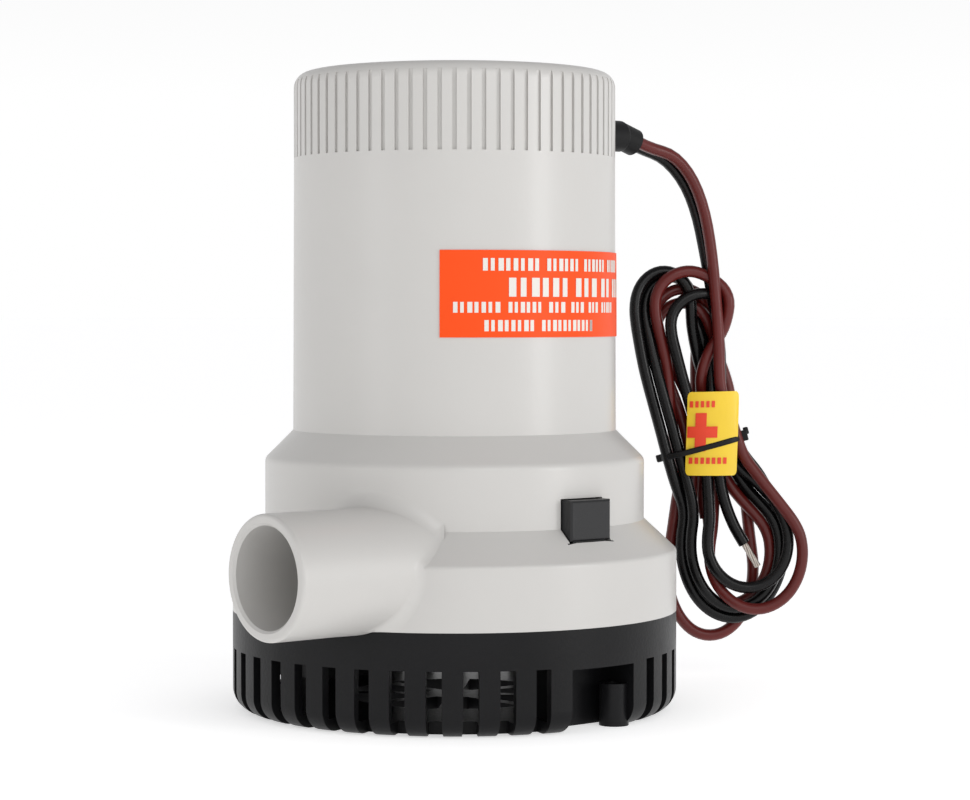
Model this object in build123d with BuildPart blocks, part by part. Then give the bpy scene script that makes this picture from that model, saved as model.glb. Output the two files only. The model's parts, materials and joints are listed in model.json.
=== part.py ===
from build123d import *
from math import cos, pi, radians, sin, tan
import os

# Submersible bilge pump: a moulded housing with the volute and the motor well, a ribbed cap,
# a clip-on strainer base and two leads tied up in a hank. Millimetres, +Z up, origin on the
# pump's axis in the plane that it is screwed down on. The hose spigot points to -X.

os.makedirs("parts", exist_ok=True)

# ---------------------------------------------------------------- driving dimensions
base_radius = 54.6
base_wall = 2.4
strainer_height = 24.3
flange_height = 14.9
shoulder_radius = 46.6
shoulder_cone = 7.5
shoulder_band = 14.8
neck_cone = 6.9
body_radius = 39.7
body_draft = 0.3
body_height = 66.4
cap_height = 20.9
flange_round = 1.2
corner_round = 2.2

spigot_radius = 14.5
spigot_bore = 11.85
spigot_reach = 73.5
spigot_free = 18.3
spigot_taper = 1.0
spigot_mouth_round = 0.9
spigot_lip = 0.6
spigot_offset = 21.6
spigot_height = 37.7

chamber_radius = 32.0
chamber_shift = 0.8
chamber_top = 47.0
volute_radius = 37.5
skirt_roof = 54.0

motor_well = 36.7
well_floor = 58.0
motor_radius = 34.0
motor_wall = 1.6
motor_length = 62.0
shaft_radius = 4.0
impeller_radius = 28.0
vane_height = 12.0
vane_count = 6

cap_rib_count = 72
cap_groove_width = 1.0
cap_groove_depth = 0.6
cap_groove_height = 18.8
cap_top_round = 3.8
cap_wall = 3.0

slot_count = 40
slot_width = 3.7
slot_height = 15.5
strainer_wall = 2.6
strainer_floor = 3.0
floor_hole = 26.5
alcove_width = 19.4
alcove_height = 15.0
alcove_radius = 43.0
slot_inner = 46.5
screw_circle = 98.0
screw_angle = -80.0
screw_hole = 2.0
screw_boss = 3.5

button_width = 12.5
button_height = 9.5
button_bottom = 44.0
button_proud = 3.0
button_depth = 4.4
button_round = 0.7
arm_thickness = 2.2
hinge_height = 20.5
hinge_radius = 1.5
knuckle_radius = 2.6

wire_radius = 1.55
boot_height = 142.7
boot_radius = 4.0
boot_reach = 56.5
collar_radius = 3.5
collar_length = 4.5
collar_tilt = 18.0

label_bottom = 91.3
label_height = 20.3
label_start = -135.0
label_arc = 110.0
label_thickness = 0.25

# Clearances.
running = 0.05
slip = 0.1
gap = 0.3

# ---------------------------------------------------------------- worked-out levels
flange_bottom = strainer_height
flange_top = flange_bottom + flange_height
shoulder_bottom = flange_top + shoulder_cone
shoulder_top = shoulder_bottom + shoulder_band
body_bottom = shoulder_top + neck_cone
body_top = body_bottom + body_height
body_top_radius = body_radius - body_draft
motor_bottom = well_floor + 2.0
motor_top = motor_bottom + motor_length


def body_radius_at(z):
    """Outer radius of the drafted body wall at a height."""
    return body_radius - body_draft * (z - body_bottom) / (body_top - body_bottom)


def save(piece, label):
    piece.part.label = label
    export_step(piece.part, f"parts/{label}.step")


# ---------------------------------------------------------------- pump housing
skirt_inner = base_radius - base_wall
shoulder_inner = shoulder_radius - base_wall
chamber_centre = (chamber_shift, -(spigot_offset + spigot_bore - chamber_radius))
spigot_plane = Plane(origin=(-spigot_reach, -spigot_offset, spigot_height), z_dir=(1, 0, 0))
seal_pocket = 9.0
seal_pocket_depth = 5.5
cover_screw_angles = (45, 135, -45, -110)
cover_screw_circle = 41.2
cover_boss_radius = 4.0
cover_screw_radius = 1.5
cover_boss_height = 12.0
shaft_hole = shaft_radius + 1.0
pocket_clearance = 0.8
cover_centres = [
    (cover_screw_circle * cos(radians(a)), cover_screw_circle * sin(radians(a)))
    for a in cover_screw_angles
]
window_gap = gap
window_half = button_width / 2 + window_gap
latch_face = shoulder_radius + button_proud
arm_outer = latch_face - pocket_clearance
latch_side = {"front": -1, "rear": 1}

with BuildPart() as pump_housing:
    with BuildSketch(Plane.XZ):
        with BuildLine():
            Polyline(
                (0, flange_bottom),
                (base_radius, flange_bottom),
                (base_radius, flange_top),
                (shoulder_radius, shoulder_bottom),
                (shoulder_radius, shoulder_top),
                (body_radius, body_bottom),
                (body_top_radius, body_top),
                (0, body_top),
                close=True,
            )
        make_face()
    revolve(axis=Axis.Z)
    rims = pump_housing.edges().filter_by(GeomType.CIRCLE)
    fillet(rims.filter_by_position(Axis.Z, flange_top - 0.1, flange_top + 0.1), flange_round)
    rims = pump_housing.edges().filter_by(GeomType.CIRCLE)
    fillet(rims.filter_by_position(Axis.Z, shoulder_top - 0.1, shoulder_top + 0.1), corner_round)
    # hollow under the skirt, round the volute
    with BuildSketch(Plane.XZ):
        with BuildLine():
            Polyline(
                (volute_radius, flange_bottom - 1),
                (skirt_inner, flange_bottom - 1),
                (skirt_inner, flange_top - 1),
                (shoulder_inner, shoulder_bottom - 1),
                (shoulder_inner, skirt_roof),
                (volute_radius, skirt_roof),
                close=True,
            )
        make_face()
    revolve(axis=Axis.Z, mode=Mode.SUBTRACT)
    # bosses for the cover's screws
    with BuildSketch(Plane.XY.offset(flange_bottom)):
        with Locations(*cover_centres):
            Circle(cover_boss_radius)
    extrude(amount=cover_boss_height)
    # hose spigot, then the seat of the strainer is cut level
    with BuildSketch(spigot_plane):
        Circle(spigot_radius)
    extrude(amount=spigot_free)
    with BuildSketch(spigot_plane.offset(spigot_free)):
        Circle(spigot_radius)
    extrude(amount=spigot_reach - spigot_free, taper=-spigot_taper)
    with BuildSketch(Plane.XY.offset(flange_bottom)):
        Circle(base_radius + slip)
    extrude(amount=-5, mode=Mode.SUBTRACT)
    mouth = pump_housing.edges().filter_by(GeomType.CIRCLE).group_by(Axis.X)[0]
    fillet(mouth, spigot_mouth_round)
    # volute chamber and outlet bore
    with BuildSketch(Plane.XY.offset(flange_bottom)):
        with Locations(chamber_centre):
            Circle(chamber_radius)
    extrude(amount=chamber_top - flange_bottom, mode=Mode.SUBTRACT)
    with BuildSketch(spigot_plane):
        Circle(spigot_bore)
    extrude(amount=spigot_reach, mode=Mode.SUBTRACT)
    lip = pump_housing.edges().filter_by(GeomType.CIRCLE).group_by(Axis.X)[0]
    chamfer(lip, spigot_lip)
    # motor well, seal pocket and shaft hole
    with BuildSketch(Plane.XY.offset(well_floor)):
        Circle(motor_well)
    extrude(amount=body_top - well_floor, mode=Mode.SUBTRACT)
    with BuildSketch(Plane.XY.offset(chamber_top)):
        Circle(seal_pocket)
    extrude(amount=seal_pocket_depth, mode=Mode.SUBTRACT)
    with BuildSketch(Plane.XY.offset(chamber_top)):
        Circle(shaft_hole)
    extrude(amount=well_floor - chamber_top, mode=Mode.SUBTRACT)
    # holes for the cover's screws
    with BuildSketch(Plane.XY.offset(flange_bottom)):
        with Locations(*cover_centres):
            Circle(cover_screw_radius)
    extrude(amount=cover_boss_height - 3, mode=Mode.SUBTRACT)
    # windows and arm pockets of the two latches
    for side in latch_side.values():
        window_depth = base_radius - shoulder_inner + 2
        with BuildSketch(Plane.XY.offset(button_bottom - window_gap)):
            with Locations((0, side * (shoulder_inner - 1 + window_depth / 2))):
                Rectangle(2 * window_half, window_depth)
        extrude(amount=button_height + 2 * window_gap, mode=Mode.SUBTRACT)
        pocket_inner = volute_radius + 1
        pocket_outer = arm_outer + pocket_clearance
        with BuildSketch(Plane.XY.offset(flange_bottom)):
            with Locations((0, side * (pocket_inner + pocket_outer) / 2)):
                Rectangle(2 * window_half + 1.4, pocket_outer - pocket_inner)
        extrude(amount=button_bottom - window_gap - flange_bottom, mode=Mode.SUBTRACT)

# The moulding is kept as two solids that meet at the top of the neck cone.
neck_plane = Plane.XY.offset(body_bottom)
with BuildPart() as motor_housing:
    add(pump_housing.part)
    split(bisect_by=neck_plane, keep=Keep.TOP)
save(motor_housing, "motor_housing")

with BuildPart() as volute_housing:
    add(pump_housing.part)
    split(bisect_by=neck_plane, keep=Keep.BOTTOM)
save(volute_housing, "volute_housing")

# ---------------------------------------------------------------- cap, its seal and the boot
plug_radius = motor_well - slip
plug_depth = 6.5
plug_inner = plug_radius - 3.2
ring_radius = 0.85
ring_groove = 1.7
ring_groove_height = 2.2
ring_height = body_top - plug_depth / 2
ring_centre = motor_well - 0.02 - ring_radius
cap_radius = body_top_radius
boot_bore = wire_radius + running
wire_pitch = 2 * wire_radius + 0.35
boot_flange = 6.0
boot_flange_thickness = 1.4
boot_round = 1.0
boot_inner = plug_inner - 2.2
boot_plane = Plane(origin=(0, 0, boot_height), z_dir=(1, 0, 0))

with BuildPart() as top_cap:
    with BuildSketch(Plane.XY.offset(body_top)):
        Circle(cap_radius)
    extrude(amount=cap_height)
    fillet(top_cap.edges().group_by(Axis.Z)[-1], cap_top_round)
    with BuildSketch(Plane.XY.offset(body_top)):
        Circle(plug_radius)
    extrude(amount=-plug_depth)
    with BuildSketch(Plane.XY.offset(body_top - plug_depth)):
        Circle(plug_inner)
    extrude(amount=plug_depth + cap_height - cap_wall, mode=Mode.SUBTRACT)
    with BuildSketch(Plane.XZ):
        with Locations((plug_radius, ring_height)):
            Rectangle(2 * ring_groove, ring_groove_height)
    revolve(axis=Axis.Z, mode=Mode.SUBTRACT)
    with BuildSketch(Plane.XY.offset(body_top)):
        with PolarLocations(cap_radius, cap_rib_count):
            Rectangle(2 * cap_groove_depth, cap_groove_width)
    extrude(amount=cap_groove_height, mode=Mode.SUBTRACT)
    with BuildSketch(boot_plane):
        Circle(boot_radius)
    extrude(amount=cap_radius + 1, mode=Mode.SUBTRACT)
save(top_cap, "top_cap")

with BuildPart() as cap_seal_ring:
    with BuildSketch(Plane.XZ):
        with Locations((ring_centre, ring_height)):
            Circle(ring_radius)
    revolve(axis=Axis.Z)
save(cap_seal_ring, "cap_seal_ring")

collar_plane = Plane(
    origin=(boot_reach, 0, boot_height),
    z_dir=(cos(radians(collar_tilt)), 0, -sin(radians(collar_tilt))),
)
with BuildPart() as cable_boot:
    with BuildSketch(boot_plane.offset(boot_inner)):
        Circle(boot_flange)
    extrude(amount=boot_flange_thickness)
    with BuildSketch(boot_plane.offset(boot_inner)):
        Circle(boot_radius)
    extrude(amount=boot_reach - boot_inner)
    fillet(cable_boot.edges().filter_by(GeomType.CIRCLE).group_by(Axis.X)[-1], boot_round)
    with BuildSketch(collar_plane.offset(-2)):
        Circle(collar_radius)
    extrude(amount=2 + collar_length)
    for offset_y in (-wire_pitch / 2, wire_pitch / 2):
        with BuildSketch(boot_plane.offset(boot_inner)):
            with Locations((0, offset_y)):
                Circle(boot_bore)
        extrude(amount=boot_reach - boot_inner - 3, mode=Mode.SUBTRACT)
save(cable_boot, "cable_boot")

# ---------------------------------------------------------------- rating label on the body
with BuildPart() as rating_label:
    label_top = label_bottom + label_height
    with BuildSketch(Plane.XZ.rotated((0, 0, label_start))):
        with BuildLine():
            Polyline(
                (body_radius_at(label_bottom), label_bottom),
                (body_radius_at(label_bottom) + label_thickness, label_bottom),
                (body_radius_at(label_top) + label_thickness, label_top),
                (body_radius_at(label_top), label_top),
                close=True,
            )
        make_face()
    revolve(axis=Axis.Z, revolution_arc=label_arc)
save(rating_label, "rating_label")

# ---------------------------------------------------------------- motor: fixed parts
bearing_radius = 8.0
bearing_length = 6.0
bearing_boss = bearing_radius + 2.0
can_inner = motor_radius - motor_wall
magnet_inner = 26.6
magnet_length = 40.0
magnet_bottom = motor_bottom + 8.0
magnet_arc = 140.0
core_radius = 25.9
core_bottom = magnet_bottom + 2.0
core_length = 34.0
core_slots = 5
winding_inner = 10.2
winding_outer = 22.5
winding_overhang = 5.0
commutator_radius = 11.0
commutator_length = 9.5
commutator_bottom = core_bottom + core_length + winding_overhang + 1.5
plate_thickness = 2.5
card_thickness = 2.0
card_inner = 13.5
card_bottom = motor_top - card_thickness
bush_top = motor_top + 7.0
terminal_x = 20.0
terminal_rise = 7.0
terminal_size = (0.8, 6.3)
terminal_opening = (2.4, 7.4)
card_screw_radius = 1.25
card_screw_head = 2.6
card_screw_head_height = 1.6
brush_width = 5.0
brush_height = 6.0
brush_length = 9.0
brush_z = commutator_bottom + commutator_length / 2
bearing_bore = shaft_radius + running

with BuildPart() as motor_can:
    with BuildSketch(Plane.XY.offset(motor_bottom)):
        Circle(motor_radius)
    extrude(amount=motor_length)
    fillet(motor_can.edges().group_by(Axis.Z)[0], 1.4)
    with BuildSketch(Plane.XY.offset(motor_bottom + motor_wall)):
        Circle(can_inner)
    extrude(amount=motor_length, mode=Mode.SUBTRACT)
    with BuildSketch(Plane.XY.offset(motor_bottom + motor_wall)):
        Circle(bearing_boss)
    extrude(amount=bearing_length - motor_wall)
    with BuildSketch(Plane.XY.offset(motor_bottom)):
        Circle(bearing_radius)
    extrude(amount=bearing_length, mode=Mode.SUBTRACT)
save(motor_can, "motor_can")


def ring(radius_in, radius_out, bottom, height):
    """Plain ring about the pump's axis."""
    with BuildPart() as made:
        with BuildSketch(Plane.XY.offset(bottom)):
            Circle(radius_out)
            Circle(radius_in, mode=Mode.SUBTRACT)
        extrude(amount=height)
    return made


lower_bearing = ring(bearing_bore, bearing_radius, motor_bottom, bearing_length)
save(lower_bearing, "lower_bearing")

upper_bearing = ring(bearing_bore, bearing_radius, bush_top - bearing_length, bearing_length)
save(upper_bearing, "upper_bearing")

lower_cushion = ring(motor_radius - 5, motor_well - slip, well_floor, motor_bottom - well_floor)
save(lower_cushion, "lower_motor_cushion")

upper_cushion = ring(motor_radius + slip, motor_well - slip, motor_top - 9, 5)
save(upper_cushion, "upper_motor_cushion")


def arc_band(radius_in, radius_out, bottom, height, middle, arc):
    """Upright band of a ring, centred on an angle."""
    with BuildPart() as made:
        with BuildSketch(Plane.XZ.rotated((0, 0, middle - arc / 2))):
            with Locations(((radius_in + radius_out) / 2, bottom + height / 2)):
                Rectangle(radius_out - radius_in, height)
        revolve(axis=Axis.Z, revolution_arc=arc)
    return made


with BuildPart() as motor_magnets:
    for middle in (0, 180):
        add(arc_band(magnet_inner, can_inner, magnet_bottom, magnet_length, middle, magnet_arc).part)
save(motor_magnets, "motor_magnets")

clip_arc = 180 - magnet_arc
with BuildPart() as magnet_clips:
    for middle in (90, 270):
        add(arc_band(can_inner - 1.0, can_inner, magnet_bottom, magnet_length, middle, clip_arc).part)
save(magnet_clips, "magnet_clips")

card_screws = [(0, 24.0), (0, -24.0)]
with BuildPart() as motor_end_plate:
    with BuildSketch(Plane.XY.offset(motor_top)):
        Circle(motor_radius)
    extrude(amount=plate_thickness)
    with BuildSketch(Plane.XY.offset(motor_top + plate_thickness)):
        Circle(bearing_boss)
    extrude(amount=bush_top - motor_top - plate_thickness)
    with BuildSketch(Plane.XY.offset(bush_top)):
        Circle(bearing_radius)
    extrude(amount=-bearing_length, mode=Mode.SUBTRACT)
    with BuildSketch(Plane.XY.offset(motor_top)):
        Circle(shaft_hole)
        with Locations(*card_screws):
            Circle(card_screw_radius + gap)
        with Locations((terminal_x, 0), (-terminal_x, 0)):
            Rectangle(*terminal_opening)
    extrude(amount=plate_thickness, mode=Mode.SUBTRACT)
save(motor_end_plate, "motor_end_plate")

with BuildPart() as brush_card:
    with BuildSketch(Plane.XY.offset(card_bottom)):
        Circle(can_inner - slip)
        Circle(card_inner, mode=Mode.SUBTRACT)
        with Locations(*card_screws):
            Circle(card_screw_radius + running, mode=Mode.SUBTRACT)
        with Locations((terminal_x, 0), (-terminal_x, 0)):
            Rectangle(*terminal_opening, mode=Mode.SUBTRACT)
    extrude(amount=card_thickness)
save(brush_card, "brush_card")

holder_inner = commutator_radius + 2.5
holder_outer = holder_inner + 11.0
holder_wall = 1.0
with BuildPart() as brush_holders:
    for side in (-1, 1):
        middle = side * (holder_inner + holder_outer) / 2
        length = holder_outer - holder_inner
        with BuildSketch(Plane.XY.offset(brush_z - brush_height / 2 - holder_wall)):
            with Locations((middle, 0)):
                Rectangle(length, brush_width + 2 * holder_wall)
        extrude(amount=card_bottom - brush_z + brush_height / 2 + holder_wall)
        with BuildSketch(Plane.XY.offset(brush_z - brush_height / 2)):
            with Locations((middle - side * holder_wall, 0)):
                Rectangle(length, brush_width + 2 * slip)
        extrude(amount=brush_height + slip, mode=Mode.SUBTRACT)
save(brush_holders, "brush_holders")

brush_inner = commutator_radius + running
with BuildPart() as carbon_brushes:
    with BuildSketch(Plane.XY.offset(brush_z - brush_height / 2)):
        for side in (-1, 1):
            with Locations((side * (brush_inner + brush_length / 2 - 1), 0)):
                Rectangle(brush_length + 2, brush_width)
        Circle(brush_inner, mode=Mode.SUBTRACT)
    extrude(amount=brush_height)
save(carbon_brushes, "carbon_brushes")

brush_outer = brush_inner + brush_length
spring_wire = 0.35
spring_radius = 2.1
spring_length = holder_outer - holder_wall - brush_outer
with BuildPart() as brush_springs:
    for side in (-1, 1):
        spring_plane = Plane(origin=(side * brush_outer, 0, brush_z), z_dir=(side, 0, 0))
        for turn in range(4):
            coil_x = spring_wire + turn * (spring_length - 2 * spring_wire) / 3
            with BuildSketch(spring_plane.offset(coil_x - spring_wire)):
                Circle(spring_radius)
                Circle(spring_radius - 0.6, mode=Mode.SUBTRACT)
            extrude(amount=2 * spring_wire)
        with BuildSketch(spring_plane):
            with Locations((0, spring_radius - 0.3)):
                Circle(spring_wire)
        extrude(amount=spring_length)
save(brush_springs, "brush_springs")

with BuildPart() as motor_terminals:
    for side in (-1, 1):
        with BuildSketch(Plane.XY.offset(card_bottom)):
            with Locations((side * terminal_x, 0)):
                Rectangle(*terminal_size)
        extrude(amount=card_thickness + plate_thickness + terminal_rise)
save(motor_terminals, "motor_terminals")

with BuildPart() as noise_capacitor:
    with BuildSketch(Plane.XZ.offset(-14.0)):
        with Locations((0, motor_top + plate_thickness + 4.0)):
            Circle(4.0)
    extrude(amount=-2.6)
    fillet(noise_capacitor.edges(), 0.6)
save(noise_capacitor, "noise_capacitor")

with BuildPart() as card_screw_set:
    with BuildSketch(Plane.XY.offset(card_bottom)):
        with Locations(*card_screws):
            Circle(card_screw_radius)
    extrude(amount=card_thickness + plate_thickness)
    with BuildSketch(Plane.XY.offset(motor_top + plate_thickness)):
        with Locations(*card_screws):
            Circle(card_screw_head)
    extrude(amount=card_screw_head_height)
save(card_screw_set, "brush_card_screws")

# ---------------------------------------------------------------- shaft seal
seal_top = chamber_top + seal_pocket_depth
retainer_height = 1.2
shaft_seal = ring(
    shaft_radius + running,
    seal_pocket - slip,
    chamber_top + retainer_height,
    seal_top - chamber_top - retainer_height,
)
save(shaft_seal, "shaft_seal")

seal_retainer = ring(shaft_radius + 1.2, seal_pocket - slip, chamber_top, retainer_height)
save(seal_retainer, "seal_retainer")

# ---------------------------------------------------------------- rotor
hub_radius = 8.0
shroud_thickness = 2.2
shroud_top = chamber_top - 2.0
vane_bottom = shroud_top - shroud_thickness - vane_height
shaft_bottom = vane_bottom + 1.0
shaft_top = bush_top - 0.5
vane_thickness = 1.8
screw_head = 4.2
screw_head_height = 2.2
screw_shank = 1.6
screw_length = 9.0

with BuildPart() as motor_shaft:
    with BuildSketch(Plane.XY.offset(shaft_bottom)):
        Circle(shaft_radius)
    extrude(amount=shaft_top - shaft_bottom)
    with BuildSketch(Plane.XY.offset(shaft_bottom)):
        Circle(screw_shank)
    extrude(amount=screw_length + 1, mode=Mode.SUBTRACT)
    chamfer(motor_shaft.edges().group_by(Axis.Z)[-1], 0.6)
save(motor_shaft, "motor_shaft")

with BuildPart() as armature_core:
    with BuildSketch(Plane.XY.offset(core_bottom)):
        Circle(core_radius)
        with PolarLocations(17.0, core_slots):
            Rectangle(12.0, 13.0, mode=Mode.SUBTRACT)
        with PolarLocations(24.5, core_slots):
            Rectangle(5.0, 3.0, mode=Mode.SUBTRACT)
        Circle(shaft_radius, mode=Mode.SUBTRACT)
    extrude(amount=core_length)
save(armature_core, "armature_core")

with BuildPart() as armature_windings:
    with BuildSketch(Plane.XY.offset(core_bottom - winding_overhang)):
        Circle(winding_outer)
        Circle(winding_inner, mode=Mode.SUBTRACT)
    extrude(amount=core_length + 2 * winding_overhang)
    fillet(armature_windings.edges().group_by(Axis.Z)[0], 1.5)
    fillet(armature_windings.edges().group_by(Axis.Z)[-1], 1.5)
    add(armature_core.part, mode=Mode.SUBTRACT)
save(armature_windings, "armature_windings")

with BuildPart() as commutator:
    with BuildSketch(Plane.XY.offset(commutator_bottom)):
        Circle(commutator_radius)
        Circle(shaft_radius, mode=Mode.SUBTRACT)
        with PolarLocations(commutator_radius, 2 * core_slots, start_angle=18):
            Rectangle(2.4, 0.6, mode=Mode.SUBTRACT)
    extrude(amount=commutator_length)
save(commutator, "commutator")

washer_bottom = motor_bottom + bearing_length + 0.2
with BuildPart() as thrust_washers:
    with BuildSketch(Plane.XY.offset(washer_bottom)):
        Circle(bearing_radius)
        Circle(shaft_radius, mode=Mode.SUBTRACT)
    extrude(amount=1.0)
    with BuildSketch(Plane.XY.offset(commutator_bottom + commutator_length)):
        Circle(bearing_radius - 1)
        Circle(shaft_radius, mode=Mode.SUBTRACT)
    extrude(amount=0.8)
save(thrust_washers, "thrust_washers")

with BuildPart() as impeller:
    with BuildSketch(Plane.XY.offset(shroud_top - shroud_thickness)):
        Circle(impeller_radius)
    extrude(amount=shroud_thickness)
    with BuildSketch(Plane.XY.offset(vane_bottom + 1)):
        Circle(hub_radius)
    extrude(amount=shroud_top - vane_bottom - 1)
    with BuildSketch(Plane.XY.offset(vane_bottom)):
        for number in range(vane_count):
            turn = 360 / vane_count * number
            root = Vector(hub_radius - 0.6, 0).rotate(Axis.Z, turn)
            middle = Vector((hub_radius + impeller_radius) / 2, 0).rotate(Axis.Z, turn + 16)
            tip = Vector(impeller_radius - 1.0, 0).rotate(Axis.Z, turn + 48)
            with BuildLine() as vane_line:
                ThreePointArc(root, middle, tip)
            trace(vane_line.line, vane_thickness)
    extrude(amount=vane_height)
    with BuildSketch(Plane.XY.offset(vane_bottom)):
        Circle(shaft_radius)
    extrude(amount=shroud_top - vane_bottom, mode=Mode.SUBTRACT)
save(impeller, "impeller")

with BuildPart() as impeller_screw:
    with BuildSketch(Plane.XY.offset(shaft_bottom)):
        Circle(screw_shank - running)
    extrude(amount=screw_length)
    with BuildSketch(Plane.XY.offset(shaft_bottom - screw_head_height)):
        Circle(screw_head)
    extrude(amount=screw_head_height)
    fillet(impeller_screw.edges().group_by(Axis.Z)[0], 0.9)
    with BuildSketch(Plane.XY.offset(shaft_bottom - screw_head_height)):
        Rectangle(5.0, 1.0)
        Rectangle(1.0, 5.0)
    extrude(amount=1.1, mode=Mode.SUBTRACT)
save(impeller_screw, "impeller_screw")

# ---------------------------------------------------------------- volute cover, gasket, screws
gasket_thickness = 0.6
cover_thickness = 2.4
eye_radius = 14.0
eye_wall = 2.0
eye_depth = 3.0
cover_screw_head = 2.8
cover_screw_head_height = 2.0
cover_top = flange_bottom - gasket_thickness
cover_bottom = cover_top - cover_thickness

with BuildPart() as volute_gasket:
    with BuildSketch(Plane.XY.offset(cover_top)):
        Circle(volute_radius)
        with Locations(*cover_centres):
            Circle(cover_boss_radius)
        with Locations(chamber_centre):
            Circle(chamber_radius, mode=Mode.SUBTRACT)
        with Locations(*cover_centres):
            Circle(cover_screw_radius + slip, mode=Mode.SUBTRACT)
    extrude(amount=gasket_thickness)
save(volute_gasket, "volute_gasket")

with BuildPart() as volute_cover:
    with BuildSketch(Plane.XY.offset(cover_bottom)):
        Circle(volute_radius)
        with Locations(*cover_centres):
            Circle(cover_boss_radius)
    extrude(amount=cover_thickness)
    with BuildSketch(Plane.XY.offset(cover_bottom)):
        Circle(eye_radius + eye_wall)
    extrude(amount=-eye_depth)
    with BuildSketch(Plane.XY.offset(cover_bottom - eye_depth)):
        Circle(eye_radius)
    extrude(amount=cover_thickness + eye_depth, mode=Mode.SUBTRACT)
    with BuildSketch(Plane.XY.offset(cover_bottom)):
        with Locations(*cover_centres):
            Circle(cover_screw_radius + slip)
    extrude(amount=cover_thickness, mode=Mode.SUBTRACT)
save(volute_cover, "volute_cover")

with BuildPart() as cover_screws:
    with BuildSketch(Plane.XY.offset(cover_bottom - cover_screw_head_height)):
        with Locations(*cover_centres):
            Circle(cover_screw_head)
    extrude(amount=cover_screw_head_height)
    with BuildSketch(Plane.XY.offset(cover_bottom)):
        with Locations(*cover_centres):
            Circle(cover_screw_radius - 0.02)
    extrude(amount=cover_boss_height - 3)
    with BuildSketch(Plane.XY.offset(cover_bottom - cover_screw_head_height)):
        with Locations(*cover_centres):
            Rectangle(3.6, 0.8)
            Rectangle(0.8, 3.6)
    extrude(amount=1.0, mode=Mode.SUBTRACT)
save(cover_screws, "volute_cover_screws")

# ---------------------------------------------------------------- strainer base
strainer_inner = base_radius - strainer_wall
alcove_wall = 2.5
alcove_roof = alcove_height + alcove_wall
hinge_centre = arm_outer - arm_thickness / 2
lug_gap = gap
knuckle_half = 5.1
lug_thickness = 2.5
lug_outer = knuckle_half + lug_gap + lug_thickness
slot_step = 360 / slot_count
screw_x = screw_circle / 2 * cos(radians(screw_angle))
screw_y = screw_circle / 2 * sin(radians(screw_angle))
screw_boss_height = 10.0
slot_angles = [
    slot_step * k
    for k in range(slot_count)
    if abs(abs((slot_step * k + 180) % 360 - 180) - 90) > 13
]

block_inner = alcove_radius - alcove_wall
base_round = 5.5
spoke_width = 3.2
spoke_hub = 7.0
lug_wall = knuckle_radius + 0.2

with BuildPart() as strainer_base:
    with BuildSketch(Plane.XZ):
        with BuildLine():
            Line((0, 0), (base_radius - base_round, 0))
            RadiusArc(
                (base_radius - base_round, 0), (base_radius, base_round), -base_round
            )
            Polyline(
                (base_radius, base_round),
                (base_radius, strainer_height),
                (strainer_inner, strainer_height),
                (strainer_inner, strainer_floor),
                (0, strainer_floor),
                (0, 0),
            )
        make_face()
    revolve(axis=Axis.Z)
    # blocks that the two alcoves are cut in
    with BuildSketch(Plane.XY.offset(strainer_floor)):
        with Locations((0, (block_inner + base_radius) / 2), (0, -(block_inner + base_radius) / 2)):
            Rectangle(alcove_width + 2 * alcove_wall, base_radius - block_inner)
        Circle(strainer_inner + strainer_wall / 2, mode=Mode.INTERSECT)
    extrude(amount=alcove_roof - strainer_floor)
    # floor opening with its spokes
    with BuildSketch():
        Circle(floor_hole)
        for angle in range(0, 180, 45):
            Rectangle(2 * floor_hole + 2, spoke_width, rotation=angle, mode=Mode.SUBTRACT)
        Circle(spoke_hub, mode=Mode.SUBTRACT)
    extrude(amount=strainer_floor, mode=Mode.SUBTRACT)
    # side slots, open through the rounded lower edge
    for angle in slot_angles:
        with BuildSketch(Plane.XY.offset(-1)):
            with PolarLocations((slot_inner + base_radius) / 2 + 1, 1, start_angle=angle):
                Rectangle(base_radius - slot_inner + 2, slot_width)
        extrude(amount=slot_height + 1, mode=Mode.SUBTRACT)
    # alcoves under the latches, with the mounting-screw bosses
    for side in latch_side.values():
        with BuildSketch(Plane.XY.offset(-1)):
            with Locations((0, side * (alcove_radius + base_radius + 3) / 2)):
                Rectangle(alcove_width, base_radius + 3 - alcove_radius)
        extrude(amount=alcove_height + 1, mode=Mode.SUBTRACT)
        with BuildSketch():
            with Locations((-side * screw_x, -side * screw_y)):
                Circle(screw_boss)
        extrude(amount=screw_boss_height)
        with BuildSketch():
            with Locations((-side * screw_x, -side * screw_y)):
                Circle(screw_hole)
        extrude(amount=screw_boss_height, mode=Mode.SUBTRACT)
        # lugs that carry the latch's pins
        for lug in (-1, 1):
            with BuildSketch(Plane.XY.offset(alcove_roof)):
                with Locations((lug * (lug_outer - lug_thickness / 2), side * hinge_centre)):
                    Rectangle(lug_thickness, 2 * lug_wall)
            extrude(amount=hinge_height + lug_wall - alcove_roof)
        with BuildSketch(Plane.YZ.offset(-lug_outer)):
            with Locations((side * hinge_centre, hinge_height)):
                Circle(hinge_radius + running)
        extrude(amount=2 * lug_outer, mode=Mode.SUBTRACT)
save(strainer_base, "strainer_base")

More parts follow.
